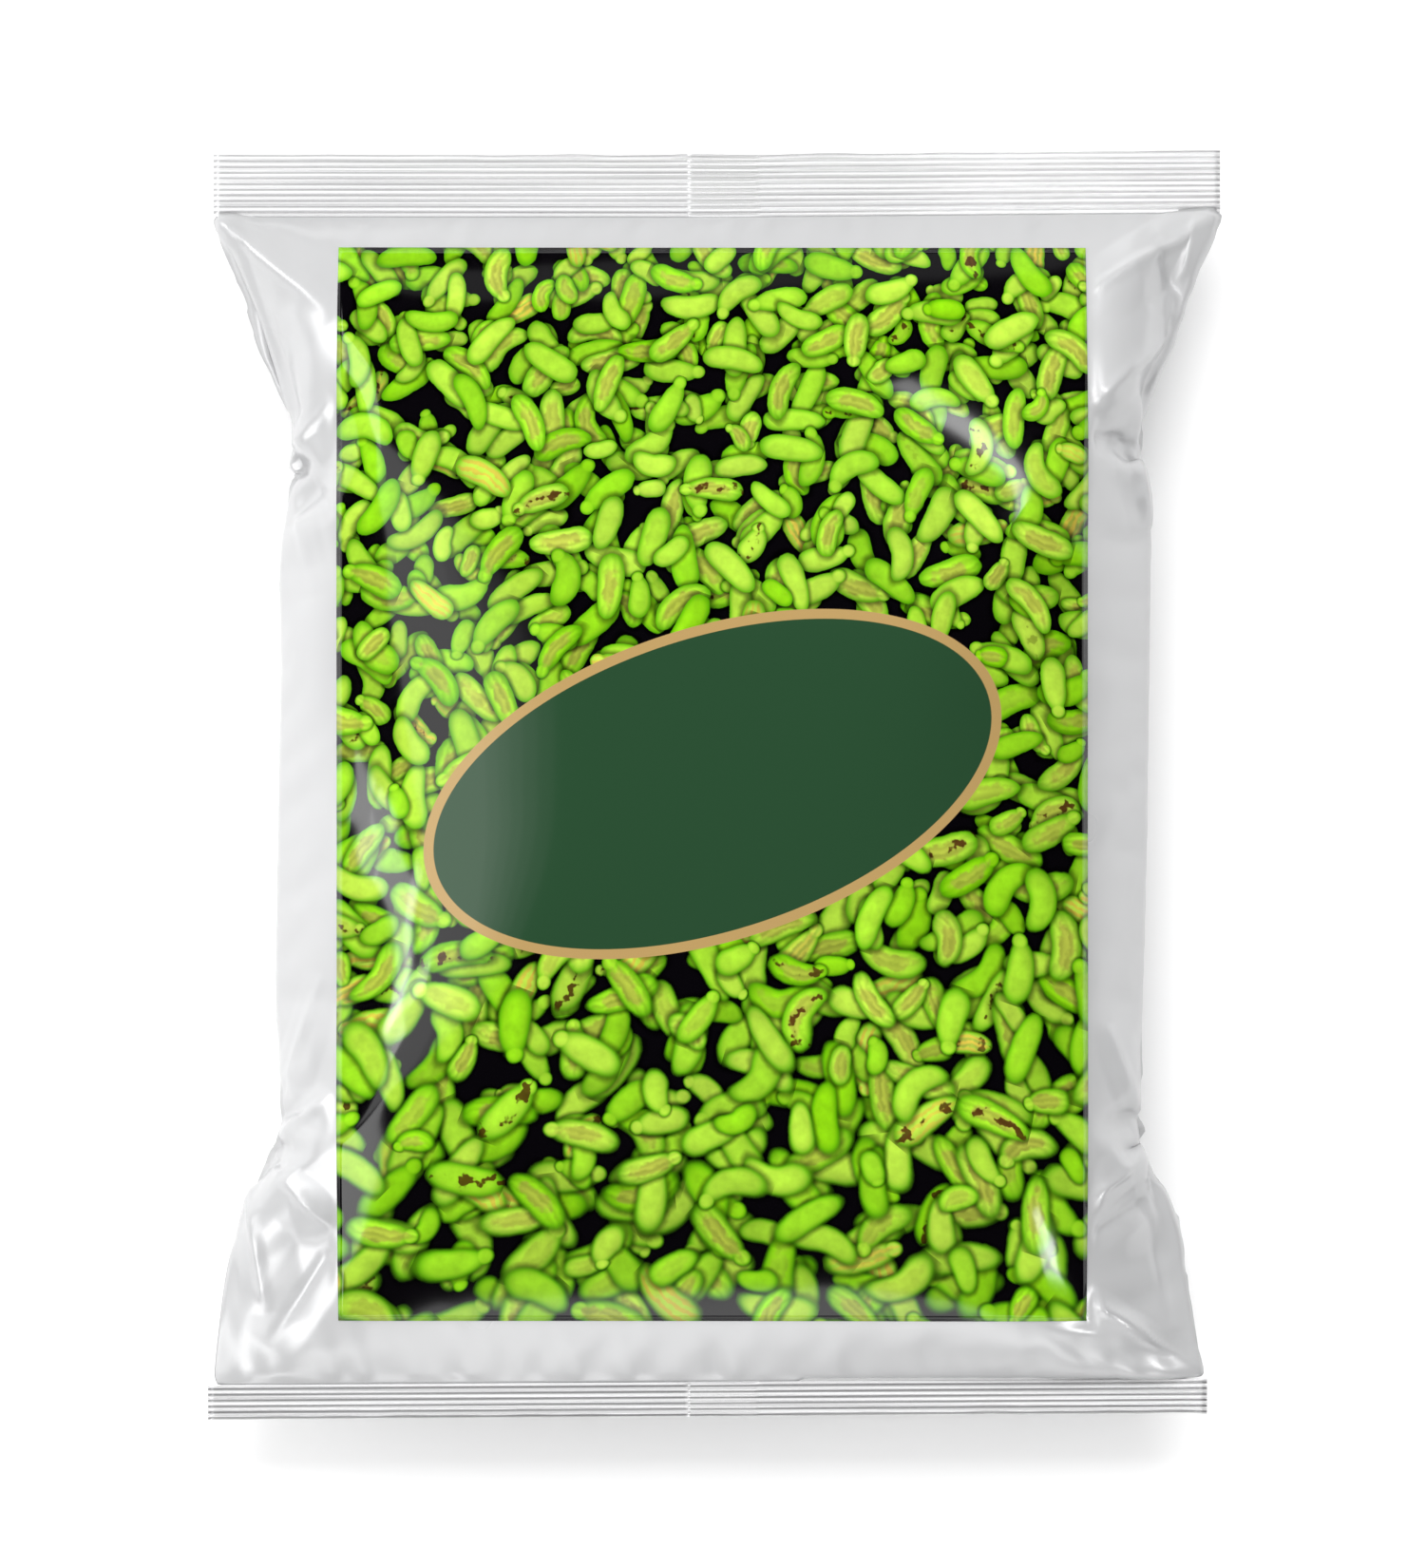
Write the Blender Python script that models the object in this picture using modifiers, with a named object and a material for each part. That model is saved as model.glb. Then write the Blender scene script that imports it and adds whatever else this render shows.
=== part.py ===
"""A sealed pillow pouch of fennel seeds, lying on its back.

One web of film is wrapped into a tube. Its two long edges meet in a fin seal that is folded flat
against the back, and a ribbed crimp seal closes each end. A large label covers the front, and the
settled seeds fill the inside. Metres, +Z up: the front faces up, the pouch's top points to +Y, and
the origin is on the surface that the back rests on.
"""

import math
import random

import bmesh
import bpy
from mathutils import Matrix, Vector

# Driving dimensions of the pouch
FLAT_WIDTH = 0.1600  # across the top crimp seal
BOTTOM_SHORT = 0.0014  # how much less the bottom crimp seal reaches to the right
HEIGHT = 0.2015  # from one cut end to the other
SEAL_PLANE = 0.0200  # height of the crimp seals above the surface
FRONT_RISE = 0.0270  # of the front above the seal plane, in the middle
BACK_DROP = 0.0232  # of the back below it, before the surface flattens it
PRESSED = 0.0003  # the back is pressed flat where it would come this near to the surface
FILLING = 2.6  # the higher, the further the pouch stays full towards its crimps
TOP_SEAL = 0.0103
BOTTOM_SEAL = 0.0056
TOP_RIBS = 11
BOTTOM_RIBS = 6

# The film. It is thicker than real film, so that it is a solid that can be meshed.
FILM = 0.00030
FACE_GAP = 0.00025  # between two faces of film that touch
LAYER = FILM + FACE_GAP
RIB_SWING = 0.00020
CRIMP_THICKNESS = 0.00124
CRIMP_START = 0.0003  # of a crimp's solid, past the line where the film leaves it
CRIMP_OVERLAP = 0.0012  # how far the film runs past that line

# The fin seal down the back, seen from the front
FIN_ROOT = -0.0042
FIN_WIDTH = 0.0107
FIN_END = FIN_ROOT + FIN_WIDTH
FIN_FLAT = 0.0350  # distance from a crimp over which the fin sinks flush with the back
FIN_SHOULDER = 0.0045  # where the back comes down again beside the fin
SHOULDER_BEND = (0.45, 0.55)  # a point on the shoulder, as shares of its width and of its height
FIN_BEND = 0.0008  # from the fold to where the fin's layers run straight
FOLD_POINTS = ((0.0003, 1.25), (0.0003, 1.75))  # on the inner fold: past the root, and up in layers
ROOT_POINTS = ((-0.0016, 0.12), (-0.0004, 0.8))  # back turning into fin: past the root, and share of the drop
CRIMPED_FIN = (FIN_ROOT - 0.0009, FIN_END + 0.0004)  # the fin's sides where a crimp has pressed it

# The label
LABEL_WIDTH = 0.1190
LABEL_HEIGHT = 0.1704
LABEL_THICKNESS = 0.00025
LABEL_GAP = 0.00036  # its glue, and room for the facets of both

# The seeds. Those on the heap's surface are drawn about three times larger than life.
SEED_LENGTH = 0.0220
SEED_WIDTH = 0.0086
SEED_DEPTH = 0.0064
SEED_BEND = 0.0022
SEED_PITCH = 0.0152
SEED_SUNK = 0.0008  # of a seed's axis below the surface of the heap
HEAP_INSET = 0.0043  # from the film to the heap's core
HEAP_SIDE_INSET = 0.0068  # the same at the side folds
HEAP_END_GAP = 0.0142  # from the crimps to the ends of the core
HEAP_EDGE = 0.0005  # least half thickness of the core
HEAP_COLUMNS = 24
HEAP_RINGS = 18
HEAP_CLOSING = (0.6, 0.8)  # how far in from its ends the core narrows, and how roundly
RANDOM_SEED = 7

TOP_EDGE = HEIGHT / 2
TOP_LINE = TOP_EDGE - TOP_SEAL  # where the film leaves the top crimp
BOTTOM_LINE = -TOP_EDGE + BOTTOM_SEAL
MIDDLE = (TOP_LINE + BOTTOM_LINE) / 2
HALF_LENGTH = (TOP_LINE - BOTTOM_LINE) / 2

# Half the pouch's width at places along it, to the left and to the right. It is pinched where its ears end.
LEFT_SIDE = ((-0.0952, 0.0798), (-0.0893, 0.0794), (-0.0819, 0.0788), (-0.0754, 0.0777), (-0.0697, 0.0757),
             (-0.0640, 0.0732), (-0.0588, 0.0709), (-0.0550, 0.0689), (-0.0513, 0.0687), (-0.0414, 0.0694),
             (-0.0300, 0.0699), (-0.0039, 0.0696), (0.0206, 0.0692), (0.0360, 0.0692), (0.0436, 0.0678),
             (0.0522, 0.0658), (0.0617, 0.0700), (0.0692, 0.0728), (0.0768, 0.0752), (0.0905, 0.0794))
RIGHT_SIDE = ((-0.0952, 0.0783), (-0.0877, 0.0774), (-0.0804, 0.0762), (-0.0751, 0.0752), (-0.0709, 0.0740),
              (-0.0650, 0.0716), (-0.0610, 0.0686), (-0.0580, 0.0668), (-0.0530, 0.0671), (-0.0339, 0.0683),
              (-0.0112, 0.0690), (0.0273, 0.0696), (0.0383, 0.0698), (0.0449, 0.0693), (0.0525, 0.0671),
              (0.0573, 0.0684), (0.0632, 0.0700), (0.0717, 0.0734), (0.0769, 0.0757), (0.0905, 0.0798))

# Samples of the film as shares of the half width, from a side fold inwards
BACK_SHARES = (0.9956, 0.975, 0.93, 0.86, 0.77, 0.66, 0.53, 0.38)
BACK_LEFT_SHARES = BACK_SHARES + (0.22, 0.12)  # on to the fin
FRONT_SHARES = (1.0,) + BACK_SHARES + (0.20, 0.0)

# Samples along the pouch as distances from a crimp: close together at the ears, wide apart in the middle
ROW_STEPS = (0.0, 0.0020, 0.0060, 0.0115, 0.0175, 0.0235, 0.0290,
             0.0335, 0.0375, 0.0420, 0.0485, 0.0590, 0.0740)

# Samples across the label as shares of half its width
LABEL_SHARES = (0.0, 0.22, 0.41, 0.57, 0.70, 0.81, 0.91, 1.0)


def smooth(start, end, value):
    """0 before start, 1 after end, with a smooth step between them."""
    t = min(1.0, max(0.0, (value - start) / (end - start)))
    return t * t * (3 - 2 * t)


def mix(a, b, t):
    return a + (b - a) * t


def through(points, at):
    """A smooth curve through (place, value) points, level past the last one."""
    if at >= points[-1][0]:
        return points[-1][1]
    i = max(k for k, p in enumerate(points[:-1]) if p[0] <= max(at, points[0][0]))
    (x0, y0), (x1, y1) = points[i], points[i + 1]
    before, after = points[max(i - 1, 0)], points[min(i + 2, len(points) - 1)]
    slope_0 = (y1 - before[1]) / (x1 - before[0])
    slope_1 = (after[1] - y0) / (after[0] - x0)
    span = x1 - x0
    t = max(0.0, (at - x0) / span)
    return (y0 * (1 + 2 * t) * (1 - t) ** 2 + slope_0 * span * t * (1 - t) ** 2
            + y1 * t * t * (3 - 2 * t) - slope_1 * span * t * t * (1 - t))


def half_width(x, y):
    """Half the width of the pouch at y, on the side of x."""
    return through(LEFT_SIDE if x < 0 else RIGHT_SIDE, y)


def share_of(x, y):
    """The place x as a share of the half width at y."""
    return max(-1.0, min(1.0, x / half_width(x, y)))


def from_crimp(y):
    """Distance from y to the nearer crimp."""
    return min(TOP_LINE - y, y - BOTTOM_LINE)


def fullness(y):
    """How full the pouch is at y: 0 at the crimps, 1 in the middle."""
    return 1 - min(1.0, abs(y - MIDDLE) / HALF_LENGTH) ** FILLING


def roundness(share, y):
    """The section's height at a share of the half width: a lens near the crimps, an ellipse further in."""
    power = 1 - 0.5 * smooth(0, 0.045, from_crimp(y))
    return max(0.0, 1 - share * share) ** power


def layer_lift(share):
    """What keeps the front and the back a film's gap apart, except at the side folds."""
    return LAYER / 2 * smooth(0, 0.09, math.sqrt(max(0.0, 1 - share * share)))


def front_height(share, y):
    """Height of the front film's middle at a share of the half width."""
    return SEAL_PLANE + layer_lift(share) + FRONT_RISE * fullness(y) * roundness(share, y)


def back_height(share, y):
    """Height of the back film's middle. The surface that it rests on flattens it."""
    level = FILM / 2
    height = SEAL_PLANE - layer_lift(share) - BACK_DROP * fullness(y) * roundness(share, y)
    return height if height > level + PRESSED else level


def fin_drop(y):
    """How far the fin hangs below the back: two layers at a crimp, flush in the middle."""
    return 2 * LAYER * (1 - smooth(0.004, FIN_FLAT, from_crimp(y)))


def section(y):
    """The film's middle line around the pouch at y, from the fin's inner free edge to its outer one."""
    left, right = half_width(-1, y), half_width(1, y)
    drop = fin_drop(y)
    raised = 2 * LAYER - drop
    straight = (FIN_END, mix(FIN_ROOT, FIN_END, 0.5), FIN_ROOT + FIN_BEND)
    bend_x, bend_z = SHOULDER_BEND

    def back(x):
        return back_height(share_of(x, y), y)

    inner = [(x, back(x) + LAYER - drop) for x in straight]
    fold = [(FIN_ROOT + past, back(FIN_ROOT) + LAYER * layers - drop) for past, layers in FOLD_POINTS]
    over_fin = [(x, back(x) + raised) for x in reversed(straight)]
    shoulder = [(FIN_END + FIN_SHOULDER * bend_x, back(FIN_END) + raised * bend_z),
                (FIN_END + FIN_SHOULDER, back(FIN_END + FIN_SHOULDER))]
    back_right = [(right * share, back_height(share, y)) for share in reversed(BACK_SHARES)]
    front = [(right * share, front_height(share, y)) for share in FRONT_SHARES]
    front += [(-left * share, front_height(share, y)) for share in reversed(FRONT_SHARES[:-1])]
    back_left = [(-left * share, back_height(share, y)) for share in BACK_LEFT_SHARES]
    root = [(FIN_ROOT + across, back(FIN_ROOT) - drop * share) for across, share in ROOT_POINTS]
    outer = [(x, back(x) - drop) for x in reversed(straight)]
    return inner + fold + over_fin + shoulder + back_right + front + back_left + root + outer


def rows_along():
    """Places along the pouch, from the bottom crimp to the top one."""
    return [BOTTOM_LINE + step for step in ROW_STEPS] + [TOP_LINE - step for step in reversed(ROW_STEPS)]


def finish_of(name, colour, roughness_value):
    """A Principled material in one colour."""
    made = bpy.data.materials.new(name)
    made.use_nodes = True
    shader = made.node_tree.nodes["Principled BSDF"]
    shader.inputs["Base Color"].default_value = (*colour, 1)
    shader.inputs["Roughness"].default_value = roughness_value
    shader.inputs["Metallic"].default_value = 0
    return made


def object_from(name, bm):
    """A new object in the scene with the mesh in bm."""
    mesh = bpy.data.meshes.new(name)
    bm.to_mesh(mesh)
    bm.free()
    made = bpy.data.objects.new(name, mesh)
    bpy.context.scene.collection.objects.link(made)
    return made


def grid_object(name, columns, rows, place):
    """A grid primitive whose vertex in column i and row j goes to place(i, j)."""
    bm = bmesh.new()
    bmesh.ops.create_grid(bm, x_segments=columns - 1, y_segments=rows - 1, size=0.5)
    for vertex in bm.verts:
        i = round((vertex.co.x + 0.5) * (columns - 1))
        j = round((vertex.co.y + 0.5) * (rows - 1))
        vertex.co = place(i, j)
    return object_from(name, bm)


def thicken(piece, thickness):
    """Gives an open surface its thickness, half to each side."""
    solid = piece.modifiers.new("thickness", "SOLIDIFY")
    solid.thickness = thickness
    solid.offset = 0
    solid.use_even_offset = True
    return piece


def apply_modifiers(piece):
    bpy.context.view_layer.update()
    depsgraph = bpy.context.evaluated_depsgraph_get()
    mesh = bpy.data.meshes.new_from_object(piece.evaluated_get(depsgraph), depsgraph=depsgraph)
    piece.modifiers.clear()
    old, piece.data = piece.data, mesh
    bpy.data.meshes.remove(old)
    return piece


def turn_out(piece):
    """Turns the faces of a closed piece outwards."""
    bm = bmesh.new()
    bm.from_mesh(piece.data)
    bmesh.ops.recalc_face_normals(bm, faces=bm.faces)
    if bm.calc_volume(signed=True) < 0:
        bmesh.ops.reverse_faces(bm, faces=bm.faces)
    bm.to_mesh(piece.data)
    bm.free()
    return piece


def fuse(body, pieces, solver):
    """Joins the pieces to the body by one Boolean union, and removes them."""
    group = bpy.data.collections.new("pieces to fuse")
    bpy.context.scene.collection.children.link(group)
    for piece in pieces:
        bpy.context.scene.collection.objects.unlink(piece)
        group.objects.link(piece)
    union = body.modifiers.new("union", "BOOLEAN")
    union.operation = "UNION"
    union.operand_type = "COLLECTION"
    union.collection = group
    union.solver = solver
    apply_modifiers(body)
    for piece in pieces:
        bpy.data.objects.remove(piece)
    bpy.data.collections.remove(group)
    return body


def keep_largest_shell(piece):
    """Fills the small hollows that a union has sealed, and drops loose scraps."""
    bm = bmesh.new()
    bm.from_mesh(piece.data)
    left, shells = set(bm.faces), []
    while left:
        shell, edge = [], [left.pop()]
        while edge:
            face = edge.pop()
            shell.append(face)
            near = {f for e in face.edges for f in e.link_faces} & left
            left -= near
            edge.extend(near)
        shells.append(shell)
    largest = set(max(shells, key=len))
    bmesh.ops.delete(bm, geom=[f for f in bm.faces if f not in largest], context="FACES")
    bm.to_mesh(piece.data)
    bm.free()
    return piece


def film_web():
    """The wrapped web of film with its fin, open only in the slit between the fin's two layers."""
    rows = rows_along()
    rows = [rows[0] - CRIMP_OVERLAP] + rows + [rows[-1] + CRIMP_OVERLAP]
    lines = [section(y) for y in rows]

    def place(i, j):
        x, z = lines[j][i]
        return Vector((x, rows[j], z))

    web = grid_object("pouch_film", len(lines[0]), len(rows), place)
    return turn_out(apply_modifiers(thicken(web, FILM)))


def crimp(name, inner_line, outer_line, ribs, left, right, height):
    """A ribbed strip of sealed film: both of its faces follow the same square-cut wave."""
    per_rib = 4
    rows = ribs * per_rib + 2

    def place(i, j):
        wave = RIB_SWING * math.sqrt(0.5) * (1 if j % per_rib < 2 else -1)
        return Vector((mix(left, right, i), mix(inner_line, outer_line, j / (rows - 1)), height + wave))

    return turn_out(apply_modifiers(thicken(grid_object(name, 2, rows, place), CRIMP_THICKNESS)))


def crimps():
    """Both crimp seals, each with the folded fin pressed into it at the back."""
    half = FLAT_WIDTH / 2
    fin_height = SEAL_PLANE - 2 * LAYER
    made = []
    for name, inner, outer, ribs, right in (
            ("top_crimp", TOP_LINE + CRIMP_START, TOP_EDGE, TOP_RIBS, half),
            ("bottom_crimp", BOTTOM_LINE - CRIMP_START, -TOP_EDGE, BOTTOM_RIBS, half - BOTTOM_SHORT)):
        made.append(crimp(name, inner, outer, ribs, -half, right, SEAL_PLANE))
        made.append(crimp(name + "_fin", inner, outer, ribs, *CRIMPED_FIN, fin_height))
    return made


def level_underside(piece):
    """Makes the underside truly level where it rests on the surface."""
    for vertex in piece.data.vertices:
        if vertex.co.z < FILM / 4:
            vertex.co.z = 0.0
    return piece


def pouch_film():
    """The whole film: wrapped web, fin seal and crimp seals in one piece."""
    film = level_underside(keep_largest_shell(fuse(film_web(), crimps(), "EXACT")))
    film.data.materials.append(finish_of("white_film", (0.86, 0.87, 0.88), 0.32))
    return film


def front_label():
    """The label, glued to the front and bent with it."""
    shares = [-share for share in reversed(LABEL_SHARES[1:])] + list(LABEL_SHARES)
    end = LABEL_HEIGHT / 2
    rows = [-end] + [y for y in rows_along() if abs(y) < end - 0.001] + [end]
    above = (FILM + LABEL_THICKNESS) / 2 + LABEL_GAP
    step = 0.0004  # over which the film's slope is taken

    def film(x, y):
        return front_height(abs(share_of(x, y)), y)

    def place(i, j):
        x, y = shares[i] * LABEL_WIDTH / 2, rows[j]
        across = (film(x + step, y) - film(x - step, y)) / (2 * step)
        along = (film(x, y + step) - film(x, y - step)) / (2 * step)
        return Vector((x, y, film(x, y) + above * math.sqrt(1 + across ** 2 + along ** 2)))

    label = thicken(grid_object("front_label", len(shares), len(rows), place), LABEL_THICKNESS)
    label.data.materials.append(finish_of("label_print", (0.30, 0.62, 0.06), 0.3))
    return label


def heap_core():
    """The body of the heap of seeds: the pouch's inside, rounded off before the crimps."""
    low, high = BOTTOM_LINE + HEAP_END_GAP, TOP_LINE - HEAP_END_GAP
    closing_ring, closing_power = HEAP_CLOSING
    bm = bmesh.new()
    bmesh.ops.create_uvsphere(bm, u_segments=HEAP_COLUMNS, v_segments=HEAP_RINGS, radius=1)
    for vertex in bm.verts:
        y = mix(low, high, (vertex.co.z + 1) / 2)
        ring = math.hypot(vertex.co.x, vertex.co.y)
        share = vertex.co.x / ring if ring > 1e-6 else 0.0
        closing = min(1.0, ring / closing_ring) ** closing_power
        reach = FRONT_RISE if vertex.co.y > 0 else SEAL_PLANE - FILM / 2
        rise = max(HEAP_EDGE, reach * fullness(y) - HEAP_INSET) * closing * roundness(share, y)
        vertex.co = Vector(((half_width(share, y) - HEAP_SIDE_INSET) * closing * share, y,
                            SEAL_PLANE + math.copysign(rise, vertex.co.y)))
    return turn_out(object_from("seed_fill", bm))


def seed_on(spot, normal, turn, size, bend):
    """One curved fennel seed with five ridges, lying on the heap at spot."""
    bm = bmesh.new()
    bmesh.ops.create_uvsphere(bm, u_segments=5, v_segments=5, radius=0.5)
    for vertex in bm.verts:
        along, across, up = vertex.co.z, vertex.co.x, vertex.co.y
        vertex.co = Vector((along * SEED_LENGTH, across * SEED_WIDTH + 4 * bend * along * along,
                            up * SEED_DEPTH)) * size
    level = Vector((-normal.y, normal.x, 0)).normalized()
    stand = Matrix((level, normal.cross(level), normal)).transposed().to_4x4()
    bm.transform(Matrix.Translation(spot - normal * SEED_SUNK) @ stand @ Matrix.Rotation(turn, 4, "Z"))
    return turn_out(object_from("seed", bm))


def seed_fill():
    """The heap of settled seeds, with whole seeds standing out of its surface."""
    heap = heap_core()
    draw = random.Random(RANDOM_SEED)
    faces = [(face.center.copy(), face.normal.copy()) for face in heap.data.polygons]
    faces.sort(key=lambda face: tuple(round(number, 5) for number in face[0]))
    draw.shuffle(faces)
    spots = []
    for centre, normal in faces:
        if all((centre - other).length > SEED_PITCH for other, _ in spots):
            spots.append((centre, normal))
    seeds = []
    for spot, normal in spots:
        any_way = smooth(0.45, 0.9, abs(normal.z))  # those at the heap's rim lie along it
        seeds.append(seed_on(spot, normal, draw.uniform(-0.5, 0.5) * math.pi * any_way,
                             draw.uniform(0.85, 1.05), draw.uniform(-SEED_BEND, SEED_BEND)))
    keep_largest_shell(fuse(heap, seeds, "MANIFOLD"))
    heap.data.materials.append(finish_of("seed_green", (0.33, 0.55, 0.09), 0.6))
    return heap


def main():
    for item in list(bpy.data.objects):
        bpy.data.objects.remove(item)
    pouch = bpy.data.collections.new("fennel_seed_pouch")
    bpy.context.scene.collection.children.link(pouch)
    for node in (pouch_film(), front_label(), seed_fill()):
        bpy.context.scene.collection.objects.unlink(node)
        pouch.objects.link(node)


main()
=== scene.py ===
"""The looks of a sealed pillow pouch of fennel seeds, lying on its back on a pale floor.

The film is a flat tube that is drawn in at its crimps and sides and blown up by a cloth simulation,
so that its folds are real ones. The label, the fin seal and the crimps are fitted to the result.
"""

import math
import random

import bmesh
import bpy
import numpy as np
from mathutils import Matrix, Vector
from mathutils.bvhtree import BVHTree


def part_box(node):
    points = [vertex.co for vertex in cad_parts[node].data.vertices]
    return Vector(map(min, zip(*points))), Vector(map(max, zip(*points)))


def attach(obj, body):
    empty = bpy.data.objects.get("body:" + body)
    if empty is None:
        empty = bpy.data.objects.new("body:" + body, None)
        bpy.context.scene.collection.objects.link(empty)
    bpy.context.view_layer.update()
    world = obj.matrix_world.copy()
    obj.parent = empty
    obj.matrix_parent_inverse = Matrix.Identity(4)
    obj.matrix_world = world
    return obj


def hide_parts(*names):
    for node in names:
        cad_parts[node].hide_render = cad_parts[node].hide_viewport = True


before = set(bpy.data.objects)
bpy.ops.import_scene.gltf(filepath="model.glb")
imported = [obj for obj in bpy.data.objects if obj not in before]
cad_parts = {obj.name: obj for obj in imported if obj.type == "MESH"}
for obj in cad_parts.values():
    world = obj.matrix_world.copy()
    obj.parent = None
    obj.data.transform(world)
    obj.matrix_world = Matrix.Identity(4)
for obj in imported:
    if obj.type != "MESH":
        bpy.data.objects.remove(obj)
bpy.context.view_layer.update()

MM = 0.001

# Driving dimensions, in metres, in the frame of the CAD model
LABEL_LOW, LABEL_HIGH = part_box("front_label")
SEAL_PLANE = 20 * MM  # how high over the floor both crimps lie
TOP_SEAL = 9.8 * MM  # from the film's end to the outer edge of its crimp
BOTTOM_SEAL = 5.4 * MM
TOP_EDGE = 100.0 * MM
BOTTOM_EDGE = -100.45 * MM
TOP_RISE = 0.7 * MM  # how far askew the crimps were cut, at their ends
BOTTOM_RISE = 0.55 * MM
TOP_LINE = TOP_EDGE - TOP_SEAL
BOTTOM_LINE = BOTTOM_EDGE + BOTTOM_SEAL
MIDDLE = (TOP_LINE + BOTTOM_LINE) / 2
HALF_LENGTH = (TOP_LINE - BOTTOM_LINE) / 2
FLAT_WIDTH = 160 * MM
FLAT_LENGTH = 198.5 * MM  # of the film between its crimps, before it is filled

# Half the pouch's width at heights on the photograph, in millimetres, on the left and on the right
LEFT_OUTLINE = ((-95.2, 80.4), (-89.3, 79.9), (-81.9, 79.0), (-75.4, 77.9), (-69.7, 75.8), (-64.0, 73.2),
                (-58.8, 71.0), (-55.3, 68.9), (-51.3, 68.7), (-41.4, 69.5), (-33.9, 70.1), (-3.9, 69.6),
                (20.6, 69.0), (33.4, 69.5), (39.6, 69.0), (43.6, 67.8), (47.2, 66.6), (52.2, 65.7),
                (54.1, 66.0), (61.7, 70.1), (69.2, 72.9), (76.8, 75.2), (83.6, 77.6), (90.45, 79.4))
RIGHT_OUTLINE = ((-95.2, 78.4), (-87.7, 77.4), (-80.4, 76.2), (-75.1, 75.2), (-70.9, 74.0), (-65.0, 71.6),
                 (-61.0, 68.2), (-58.0, 66.6), (-55.9, 66.9), (-49.5, 67.3), (-33.9, 68.3), (-11.2, 69.0),
                 (0.7, 69.2), (27.3, 69.6), (38.3, 69.8), (44.9, 69.3), (50.7, 68.0), (52.5, 67.0),
                 (57.3, 68.6), (63.2, 69.8), (71.7, 73.4), (76.9, 75.7), (86.0, 79.0), (90.45, 80.2))


def smooth(start, end, value):
    """0 before start, 1 after end, with a smooth step between them."""
    t = np.clip((np.asarray(value, float) - start) / (end - start), 0, 1)
    return t * t * (3 - 2 * t)


def outline(points, y):
    """Half the pouch's width at y, in metres."""
    heights, widths = zip(*points)
    return np.interp(y / MM, heights, widths) * MM


def seal_rise(x, y):
    """The seals were cut a little askew: the top one's right half rises, and all of the bottom one."""
    share = np.asarray(x) / (FLAT_WIDTH / 2)
    return np.where(np.asarray(y) > 0, TOP_RISE * np.clip(share, 0, 1), BOTTOM_RISE * share)


def beside_label(x, y):
    """How far outside the label's rectangle a point is, in metres: less than 0 inside it."""
    return np.maximum(np.abs(x) - LABEL_HIGH.x, np.abs(y) - LABEL_HIGH.y)


def random_waves(draw, count, pitches, least):
    """Sine waves to add up: each has a pitch, a phase and a size between the least and 1."""
    return [(draw.uniform(*pitches), draw.uniform(0, 6.28), draw.uniform(least, 1)) for _ in range(count)]


def mesh_object(name, points, faces):
    """A new object in the scene with a smooth-shaded mesh."""
    mesh = bpy.data.meshes.new(name)
    mesh.from_pydata([tuple(map(float, point)) for point in points], [], faces)
    mesh.update()
    mesh.shade_smooth()
    made = bpy.data.objects.new(name, mesh)
    bpy.context.scene.collection.objects.link(made)
    return made


def evaluated_mesh(piece):
    """The mesh that a piece's modifiers make."""
    depsgraph = bpy.context.evaluated_depsgraph_get()
    return bpy.data.meshes.new_from_object(piece.evaluated_get(depsgraph), depsgraph=depsgraph)


# The film, blown up from a flat tube

SIM_SCALE = 10  # the simulation runs on a pouch ten times as large, where cloth settings behave
CELL = 2.4 * MM
FRAMES = 46
DRAW_IN = 20  # frames over which the seals and the sides move to their places
FLOOR_GAP = 0.35 * MM  # room for the fin seal under the back
PINCHES = (-55.5 * MM, 51.5 * MM)  # where the spare length of the sides gathers
PINCH_SPREAD = 5 * MM
PINCH_SHARE = 0.4
EVENED = 14  # smoothing steps of the film under the label, which the stiff label holds even
SWELL = 1.2 * MM  # how far the flat tube's walls stand from the plane between them before it is filled


def flat_tube():
    """The flat tube of film, welded shut along its two end rows."""
    columns = round(FLAT_WIDTH / CELL)
    rows = round(FLAT_LENGTH / CELL)
    across = [(i / columns - 0.5, 1) for i in range(columns + 1)]
    across += [(0.5 - i / columns, -1) for i in range(1, columns)]
    around = len(across)
    points = []
    for j in range(rows + 1):
        for share, side in across:
            swell = SWELL * math.cos(math.pi * share) * math.sin(math.pi * j / rows)
            points.append((share * FLAT_WIDTH, (j / rows - 0.5) * FLAT_LENGTH, SEAL_PLANE + side * swell))
    faces = []
    for j in range(rows):
        for i in range(around):
            near, far = j * around + i, j * around + (i + 1) % around
            faces.append((near, far, far + around, near + around))
    tube = mesh_object("tube", np.array(points) * SIM_SCALE, faces)
    bm = bmesh.new()
    bm.from_mesh(tube.data)
    bmesh.ops.remove_doubles(bm, verts=bm.verts, dist=1e-5)
    bmesh.ops.recalc_face_normals(bm, faces=bm.faces)
    if bm.calc_volume(signed=True) < 0:
        bmesh.ops.reverse_faces(bm, faces=bm.faces)
    bm.to_mesh(tube.data)
    bm.free()
    return tube


def drawn_height(along):
    """Where the side point at a distance along the flat film ends up: most of the slack is in the pinches."""
    grid = np.linspace(-FLAT_LENGTH / 2, FLAT_LENGTH / 2, 800)
    plain = MIDDLE + grid * (HALF_LENGTH * 2 / FLAT_LENGTH)
    slack = FLAT_LENGTH - 2 * HALF_LENGTH
    rate = np.full_like(grid, 1 - (1 - 2 * PINCH_SHARE) * slack / FLAT_LENGTH)
    for pinch in PINCHES:
        bump = np.exp(-((plain - pinch) / PINCH_SPREAD) ** 2)
        rate -= bump * PINCH_SHARE * slack / (bump.sum() * (grid[1] - grid[0]))
    heights = np.cumsum(rate)
    heights = BOTTOM_LINE + (heights - heights[0]) / (heights[-1] - heights[0]) * 2 * HALF_LENGTH
    return np.interp(along, grid, heights)


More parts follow.
